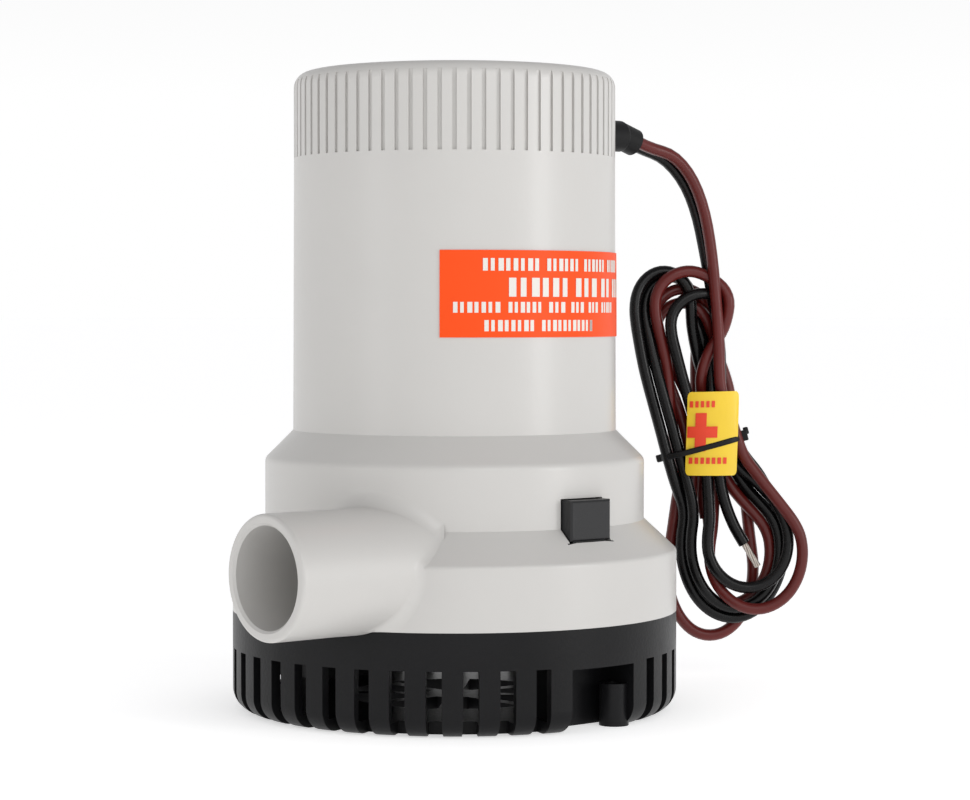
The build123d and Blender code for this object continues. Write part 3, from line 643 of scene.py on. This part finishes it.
def tinned_end(name, start, heading):
    """The stripped end of a lead: a short twist of tinned strands."""
    bm = bmesh.new()
    turn = heading.to_track_quat("Z", "Y").to_matrix().to_4x4()
    for number in range(7):
        middle = 0.0 if number == 0 else TIP_PITCH * MM
        rings = []
        for step in range(TIP_RINGS):
            angle = number * math.pi / 3 + step * TIP_TWIST
            along = -TIP_INSIDE * MM + step * 1.0 * MM
            centre = Vector((middle * math.cos(angle), middle * math.sin(angle), along))
            made = bmesh.ops.create_circle(
                bm,
                segments=6,
                radius=TIP_STRAND * MM,
                matrix=Matrix.Translation(start) @ turn @ Matrix.Translation(centre),
            )
            verts = made["verts"]
            rings.append(list({edge for vert in verts for edge in vert.link_edges}))
        for first, second in zip(rings, rings[1:]):
            bmesh.ops.bridge_loops(bm, edges=first + second)
        for ring in (rings[0], rings[-1]):
            bmesh.ops.contextual_create(bm, geom=ring)
    bmesh.ops.recalc_face_normals(bm, faces=bm.faces)
    return new_piece(name, bm, MATERIALS["tinned"], 50.0)


# ------------------------------------------------------------------ label print

# Rows of the label's print, from its top: the height of the row's middle as a share of the
# label's height, the height of its blocks in millimetres, the first block's angle in degrees
# from the label's leading edge, and the widths of its blocks in millimetres.
LABEL_ROWS = [
    (0.835, 2.9, 14.5, (14.8, 10.6, 10.0, 8.2)),
    (0.575, 4.4, 23.5, (17.6, 9.4, 6.2, 9.6)),
    (0.345, 2.5, 4.5, (11.6, 9.2, 5.4, 5.0, 4.6, 7.4)),
    (0.135, 2.6, 15.0, (13.0, 17.4)),
]
# The space between blocks; each block is bars as wide as a share of their height, and each bar
# fills a share of its place. The ink stands proud of the film and reaches into it.
BLOCK_SPACE = 1.5
BAR_PROPORTION = 0.62
BAR_WIDTHS = (0.62, 0.5, 0.7, 0.56)
INK_RISE = 0.05
INK_THICK = 0.07


class PUMP_OT_label(bpy.types.Operator):
    """Prints generic blocks on the rating label"""

    bl_idname = "pump.label"
    bl_label = "Label print"

    def execute(self, context):
        film = frame["nodes"]["rating_label"]
        rim = np.array([vertex.co[:] for vertex in film.data.vertices])
        angles = np.arctan2(rim[:, 1], rim[:, 0])
        radius = float(np.hypot(rim[:, 0], rim[:, 1]).max())
        low, high = float(rim[:, 2].min()), float(rim[:, 2].max())
        first = float(angles.min())
        bm = bmesh.new()
        for share, tall, lead_in, widths in LABEL_ROWS:
            angle = first + math.radians(lead_in)
            for width in widths:
                bars = max(2, round(width / (tall * BAR_PROPORTION)))
                pitch = width / bars
                height = low + (high - low) * share
                for number in range(bars):
                    place = angle + number * pitch * MM / radius
                    wide = pitch * BAR_WIDTHS[number % 4] * MM
                    self.block(bm, radius, place, wide, height, tall * MM)
                angle += (width + BLOCK_SPACE) * MM / radius
        bmesh.ops.solidify(bm, geom=list(bm.faces), thickness=INK_THICK * MM)
        bmesh.ops.recalc_face_normals(bm, faces=bm.faces)
        printed = new_piece("label_print", bm, MATERIALS["ink"])
        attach(printed, "root")
        return {"FINISHED"}

    def block(self, bm, radius, angle, width, height, tall):
        """One bar of ink that follows the label's curve."""
        made = bmesh.ops.create_grid(bm, x_segments=3, y_segments=1, size=0.5)
        for vert in made["verts"]:
            across, up = vert.co.x + 0.5, vert.co.y
            place = angle + across * width / radius
            outside = radius + INK_RISE * MM
            vert.co = (
                outside * math.cos(place),
                outside * math.sin(place),
                height + up * tall,
            )


# ------------------------------------------------------------------ tie and tag

# The strap's half sizes outside, its height and thickness; then each knot and catch on it, by
# its place in the tie and its sizes. All in millimetres.
TIE_HALF = (11.5, 6.9)
TIE_TALL = 1.5
TIE_THICK = 1.0
TIE_STEPS = 72
TIE_SQUARE = 0.72
TIE_EDGE = 0.28
TIE_KNOTS = [
    ((3.6, -0.8, 0.2), (2.1, 2.0, 2.8)),
    ((3.95, -0.3, 1.2), (1.3, 1.6, 1.9)),
    ((-3.65, -0.2, 0.0), (1.7, 2.2, 1.9)),
]

# The tag's corners, its depth behind the axis, its thickness and corner radius, and the plus
# sign's middle, reach and half width; then its rows of marks by first mark, number, pitch,
# width, and lowest and highest place. All in millimetres.
TAG_LOW = (61.0, 54.7)
TAG_HIGH = (74.6, 76.2)
TAG_DEPTH = 43.4
TAG_THICK = 0.45
TAG_ROUND = 1.4
PLUS_MIDDLE = (64.6, 65.7)
PLUS_REACH = (4.4, 5.0)
PLUS_HALF = 1.45
MARK_LIFT = 0.26
MARK_THICK = 0.06
MARK_ROWS = [
    (61.6, 5, 1.42, 0.85, 72.2, 73.8),
    (61.8, 7, 1.5, 0.95, 57.4, 59.0),
]


class PUMP_OT_tie(bpy.types.Operator):
    """Makes the strap that holds the hank"""

    bl_idname = "pump.tie"
    bl_label = "Tie"

    def execute(self, context):
        bm = bmesh.new()
        rings = []
        for step in range(TIE_STEPS):
            angle = 2 * math.pi * step / TIE_STEPS
            ring = []
            for out, up in ((0, -1), (1, -1), (1, 1), (0, 1)):
                half_along = TIE_HALF[0] - TIE_THICK + out * TIE_THICK
                half_deep = TIE_HALF[1] - TIE_THICK + out * TIE_THICK
                across = half_along * self.full(math.cos(angle))
                deep = half_deep * self.full(math.sin(angle))
                rise = up * TIE_TALL / 2
                point = (
                    TIE_CENTRE[0] + across * math.cos(TIE_TILT) - rise * math.sin(TIE_TILT),
                    TIE_CENTRE[1] + deep,
                    TIE_CENTRE[2] + across * math.sin(TIE_TILT) + rise * math.cos(TIE_TILT),
                )
                ring.append(bm.verts.new(hang(point)))
            rings.append([bm.edges.new((ring[k], ring[(k + 1) % 4])) for k in range(4)])
        for number in range(TIE_STEPS):
            bmesh.ops.bridge_loops(bm, edges=rings[number] + rings[(number + 1) % TIE_STEPS])
        turn = Matrix.Rotation(HANK_TURN, 4, "Z") @ Matrix.Rotation(-TIE_TILT, 4, "Y")
        for place, size in TIE_KNOTS:
            scale = Matrix.Diagonal((*(side * MM for side in size), 1.0))
            matrix = Matrix.Translation(hang(tie_point(*place))) @ turn @ scale
            bmesh.ops.create_cube(bm, size=1.0, matrix=matrix)
        bmesh.ops.recalc_face_normals(bm, faces=bm.faces)
        tie = new_piece("hank_tie_strap", bm, MATERIALS["tie"], 40.0)
        edge = tie.modifiers.new("edges", "BEVEL")
        edge.width = TIE_EDGE * MM
        edge.segments = 2
        edge.limit_method = "ANGLE"
        edge.angle_limit = math.radians(40.0)
        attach(tie, "root")
        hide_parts("hank_tie")
        return {"FINISHED"}

    def full(self, value):
        """Squares an oval up a little."""
        return math.copysign(abs(value) ** TIE_SQUARE, value)


class PUMP_OT_tag(bpy.types.Operator):
    """Makes the polarity tag with its plus sign"""

    bl_idname = "pump.tag"
    bl_label = "Polarity tag"

    def execute(self, context):
        tag = self.sheet("polarity_film", TAG_LOW, TAG_HIGH, 0.0, TAG_THICK, "tag", TAG_ROUND)
        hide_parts("polarity_tag")
        across, up = PLUS_MIDDLE
        marks = [
            ((across - PLUS_HALF, up - PLUS_REACH[1]), (across + PLUS_HALF, up + PLUS_REACH[1])),
            ((TAG_LOW[0] + 0.15, up - PLUS_HALF), (across + PLUS_REACH[0], up + PLUS_HALF)),
        ]
        for first, count, pitch, width, low, high in MARK_ROWS:
            for number in range(count):
                left = first + number * pitch
                marks.append(((left, low), (left + width, high)))
        for number, (low, high) in enumerate(marks):
            self.sheet(f"polarity_mark_{number}", low, high, MARK_LIFT, MARK_THICK, "tag_ink")
        return {"FINISHED"}

    def sheet(self, name, low, high, lift, thick, finish, rounding=0.0):
        """A thin rectangle that bends with the tag."""
        bm = bmesh.new()
        bmesh.ops.create_grid(bm, x_segments=14, y_segments=4, size=0.5)
        width, tall = high[0] - low[0], high[1] - low[1]
        for vert in bm.verts:
            vert.co.x = low[0] + (vert.co.x + 0.5) * width
            vert.co.y = low[1] + (vert.co.y + 0.5) * tall
        if rounding:
            corners = [vert for vert in bm.verts if len(vert.link_edges) == 2]
            bmesh.ops.bevel(
                bm,
                geom=corners,
                offset=rounding,
                segments=5,
                profile=0.5,
                affect="VERTICES",
                material=-1,
            )
        for vert in bm.verts:
            distance, height = vert.co.x, vert.co.y
            share = (distance - TAG_LOW[0]) / (TAG_HIGH[0] - TAG_LOW[0])
            bend = 1.5 * (2 * share - 0.9) ** 2 + 0.25 * math.sin(height * 0.35)
            lean = 0.02 * (distance - TAG_LOW[0]) * (height - TAG_LOW[1]) / 20.0
            vert.co = hang((distance + 0.03 * (height - 65.0), TAG_DEPTH - lift + bend, height + lean))
        bmesh.ops.solidify(bm, geom=list(bm.faces), thickness=thick * MM)
        bmesh.ops.recalc_face_normals(bm, faces=bm.faces)
        piece = new_piece(name, bm, MATERIALS[finish], 40.0)
        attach(piece, "root")
        return piece


# ------------------------------------------------------------------ shells


# The housing's outer profile below the neck, as radius and height in millimetres, with the
# rounded rim of the flange. Then, in millimetres, where the spigot's taper starts and its angle
# in degrees, the stretch of its axis that meets the housing, how far the round stands proud of
# both, and how deep its back lies in them.
FLANGE_PROFILE = [
    (54.6, 10.0),
    (54.6, 38.6),
    (54.45, 38.98),
    (54.2, 39.43),
    (46.6, 46.7),
    (46.6, 60.4),
    (45.9, 62.1),
    (39.7, 68.4),
]
TAPER_START = 55.2
TAPER_ANGLE = 1.0
SPIGOT_STRETCH = (-73.0, -6.0)
ROOT_PROUD = 0.012
ROOT_BACK = 1.6
ROOT_STEPS = 150


class PumpBlend(bpy.types.PropertyGroup):
    """The soft root of the hose spigot"""

    radius: bpy.props.FloatProperty(
        name="Root radius",
        description="Radius of the hollow round where the spigot meets the housing",
        default=4.2 * MM,
        min=1.0 * MM,
        max=8.0 * MM,
        unit="LENGTH",
    )


class PUMP_OT_spigot_root(bpy.types.Operator):
    """Runs a hollow round along the joint of the spigot and the housing"""

    bl_idname = "pump.spigot_root"
    bl_label = "Spigot root"

    def execute(self, context):
        ball = settings("pump_blend").radius / MM
        spigot = SPIGOT["dims"]["r_mm"]
        axis_y, axis_z = (SPIGOT["pos_m"][1] / MM, SPIGOT["pos_m"][2] / MM)
        bm = bmesh.new()
        rings = []
        for step in range(ROOT_STEPS + 1):
            angle = math.radians(-118.0 + 328.0 * step / ROOT_STEPS)
            found = self.rolling_ball(ball, spigot, axis_y, axis_z, angle)
            if found is None:
                continue
            centre, to_spigot, to_body = found
            ring = []
            for part in range(9):
                way = to_spigot.slerp(to_body, part / 8)
                ring.append(bm.verts.new((centre + way * (ball + ROOT_PROUD)) * MM))
            inner = centre + (to_spigot + to_body).normalized() * (ball + ROOT_BACK)
            ring.append(bm.verts.new(inner * MM))
            rings.append([bm.edges.new((ring[k], ring[(k + 1) % 10])) for k in range(10)])
        for first, second in zip(rings, rings[1:]):
            bmesh.ops.bridge_loops(bm, edges=first + second)
        for ring in (rings[0], rings[-1]):
            bmesh.ops.contextual_create(bm, geom=ring)
        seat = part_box("strainer_base")[1][2] + 0.1 * MM
        everything = bm.verts[:] + bm.edges[:] + bm.faces[:]
        bmesh.ops.bisect_plane(
            bm, geom=everything, plane_co=(0, 0, seat), plane_no=(0, 0, 1), clear_inner=True
        )
        open_edges = [edge for edge in bm.edges if len(edge.link_faces) == 1]
        bmesh.ops.holes_fill(bm, edges=open_edges)
        bmesh.ops.recalc_face_normals(bm, faces=bm.faces)
        root = new_piece("spigot_root_round", bm, MATERIALS["shell"], 50.0)
        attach(root, "root")
        return {"FINISHED"}

    def body_distance(self, point):
        """Distance outside the profile, and the way out from its nearest place."""
        radius = math.hypot(point.x, point.y)
        best = None
        for (r0, z0), (r1, z1) in zip(FLANGE_PROFILE, FLANGE_PROFILE[1:]):
            along = ((radius - r0) * (r1 - r0) + (point.z - z0) * (z1 - z0)) / (
                (r1 - r0) ** 2 + (z1 - z0) ** 2
            )
            along = min(1.0, max(0.0, along))
            near = (r0 + along * (r1 - r0), z0 + along * (z1 - z0))
            away = (radius - near[0], point.z - near[1])
            outside = (z1 - z0) * (radius - r0) - (r1 - r0) * (point.z - z0)
            distance = math.hypot(*away)
            if best is None or distance < abs(best[0]):
                best = (math.copysign(distance, outside), away)
        distance, away = best
        length = max(math.hypot(*away), 1e-9)
        sign = math.copysign(1.0, distance)
        out = Vector((point.x / radius, point.y / radius, 0)) * (sign * away[0] / length)
        out.z = sign * away[1] / length
        return distance, out

    def rolling_ball(self, ball, spigot, axis_y, axis_z, angle):
        """Where a ball that rests on the spigot at an angle also touches the housing."""
        radial = Vector((0, -math.cos(angle), math.sin(angle)))

        def centre_at(x):
            grown = max(0.0, x + TAPER_START) * math.tan(math.radians(TAPER_ANGLE))
            return Vector((x, axis_y, axis_z)) + radial * (spigot + grown + ball)

        first, last = SPIGOT_STRETCH
        low, high = first, None
        x = low
        while x < last:
            if self.body_distance(centre_at(x))[0] < ball:
                high = x
                break
            low = x
            x += 0.5
        if high is None or high == first:
            return None
        for _ in range(24):
            middle = (low + high) / 2
            if self.body_distance(centre_at(middle))[0] < ball:
                high = middle
            else:
                low = middle
        centre = centre_at(high)
        return centre, -radial, -self.body_distance(centre)[1]


class PUMP_OT_finishes(bpy.types.Operator):
    """Gives every carried-over piece its finish"""

    bl_idname = "pump.finishes"
    bl_label = "Finishes"

    def execute(self, context):
        make_materials()
        for node, finish in NODE_FINISHES.items():
            if node not in frame["nodes"]:
                raise RuntimeError(f"the frame has no node {node}")
            paint(node, MATERIALS[finish])
        return {"FINISHED"}


# ------------------------------------------------------------------ stage


# The soft lights: place to the right of the camera's line, towards the camera and up, and size,
# in metres; then power in watts. All aim at the pump's middle.
LIGHTS = {
    "front_box": ((0.40, 0.85, 0.55), (0.80, 0.50), 1.9),
    "side_strip": ((0.95, 0.50, 0.16), (0.26, 0.60), 2.4),
    "left_strip": ((-0.84, 0.58, 0.20), (0.30, 0.50), 0.6),
}
LIGHTS_AIM = (0.0, 0.0, 0.07)

# The dome's brightness near the horizon and overhead, as height on the dome and colour.
DOME = [(0.08, (1.0, 1.0, 1.0)), (0.72, (0.40, 0.40, 0.41))]
FLOOR_HALF = 60.0
LENS_SHIFT = 0.0314


def area_light(name, place, aim, size, power):
    """A soft box light aimed at a point."""
    light = bpy.data.lights.new(name, "AREA")
    light.shape = "RECTANGLE"
    light.size, light.size_y = size
    light.energy = power
    lamp = bpy.data.objects.new(name, light)
    bpy.context.collection.objects.link(lamp)
    lamp.location = place
    lamp.rotation_euler = (Vector(aim) - Vector(place)).to_track_quat("-Z", "Y").to_euler()
    return lamp


def about_camera(side, back, height):
    """A place to the right of the camera's line, towards the camera, and up, in metres."""
    azimuth = math.radians(settings("pump_camera").azimuth)
    right = Vector((math.cos(azimuth), math.sin(azimuth), 0.0))
    nearer = Vector((math.sin(azimuth), -math.cos(azimuth), 0.0))
    return right * side + nearer * back + Vector((0.0, 0.0, height))


class PUMP_OT_stage(bpy.types.Operator):
    """Sets the floor, the lights and the camera"""

    bl_idname = "pump.stage"
    bl_label = "Stage"

    def execute(self, context):
        scene = context.scene
        scene.view_settings.view_transform = "Standard"
        world = bpy.data.worlds.new("studio")
        scene.world = world
        world.use_nodes = True
        tree = world.node_tree
        background = tree.nodes["Background"]
        direction = tree.nodes.new("ShaderNodeTexCoord")
        split = tree.nodes.new("ShaderNodeSeparateXYZ")
        dome = tree.nodes.new("ShaderNodeValToRGB")
        for stop, (place, colour) in zip(dome.color_ramp.elements, DOME):
            stop.position, stop.color = place, (*colour, 1.0)
        tree.links.new(direction.outputs["Generated"], split.inputs["Vector"])
        tree.links.new(split.outputs["Z"], dome.inputs["Fac"])
        tree.links.new(dome.outputs["Color"], background.inputs["Color"])
        background.inputs["Strength"].default_value = 1.0

        bm = bmesh.new()
        bmesh.ops.create_grid(bm, x_segments=2, y_segments=2, size=FLOOR_HALF)
        floor_finish = Nodes("floor")
        floor_finish.set(
            Base_Color=(0.86, 0.86, 0.86, 1.0),
            Roughness=0.95,
            Specular_IOR_Level=0.1,
            Emission_Color=(1.0, 1.0, 1.0, 1.0),
            Emission_Strength=0.54,
        )
        floor = new_piece("floor", bm, floor_finish.material)

        for name, (place, size, power) in LIGHTS.items():
            area_light(name, about_camera(*place), LIGHTS_AIM, size, power)

        spot = settings("pump_camera")
        lens = bpy.data.cameras.new("camera")
        lens.lens = spot.lens
        lens.sensor_width = 36.0
        lens.shift_x = LENS_SHIFT
        lens.clip_start = 0.01
        lens.clip_end = 50.0
        camera = bpy.data.objects.new("camera", lens)
        context.collection.objects.link(camera)
        place = about_camera(0.0, spot.distance, spot.height)
        camera.location = place
        camera.rotation_euler = (
            math.radians(90.0 - spot.tilt),
            0.0,
            math.radians(spot.azimuth),
        )
        scene.camera = camera
        return {"FINISHED"}


# ------------------------------------------------------------------ panel and registration


class PUMP_PT_dresser(bpy.types.Panel):
    """The sidebar panel that lists the settings and the steps"""

    bl_idname = "PUMP_PT_dresser"
    bl_label = "Bilge pump"
    bl_space_type = "VIEW_3D"
    bl_region_type = "UI"
    bl_category = "Bilge pump"

    def draw(self, context):
        layout = self.layout
        for group in GROUPS:
            values = settings(group)
            for key in values.bl_rna.properties.keys():
                if key not in ("rna_type", "name"):
                    layout.prop(values, key)
        for step in STEPS:
            layout.operator(step.bl_idname)


GROUPS = {
    "pump_colours": PumpColours,
    "pump_leads": PumpLeads,
    "pump_blend": PumpBlend,
    "pump_camera": PumpCamera,
}
STEPS = [
    PUMP_OT_finishes,
    PUMP_OT_spigot_root,
    PUMP_OT_leads,
    PUMP_OT_tie,
    PUMP_OT_tag,
    PUMP_OT_label,
    PUMP_OT_stage,
]


def register():
    for name, group in GROUPS.items():
        bpy.utils.register_class(group)
        setattr(bpy.types.Scene, name, bpy.props.PointerProperty(type=group))
    for step in STEPS:
        bpy.utils.register_class(step)
    bpy.utils.register_class(PUMP_PT_dresser)


def unregister():
    bpy.utils.unregister_class(PUMP_PT_dresser)
    for step in reversed(STEPS):
        bpy.utils.unregister_class(step)
    for name, group in reversed(GROUPS.items()):
        delattr(bpy.types.Scene, name)
        bpy.utils.unregister_class(group)


def main():
    register()
    for step in STEPS:
        family, name = step.bl_idname.split(".")
        getattr(getattr(bpy.ops, family), name)()


if __name__ == "__main__":
    main()
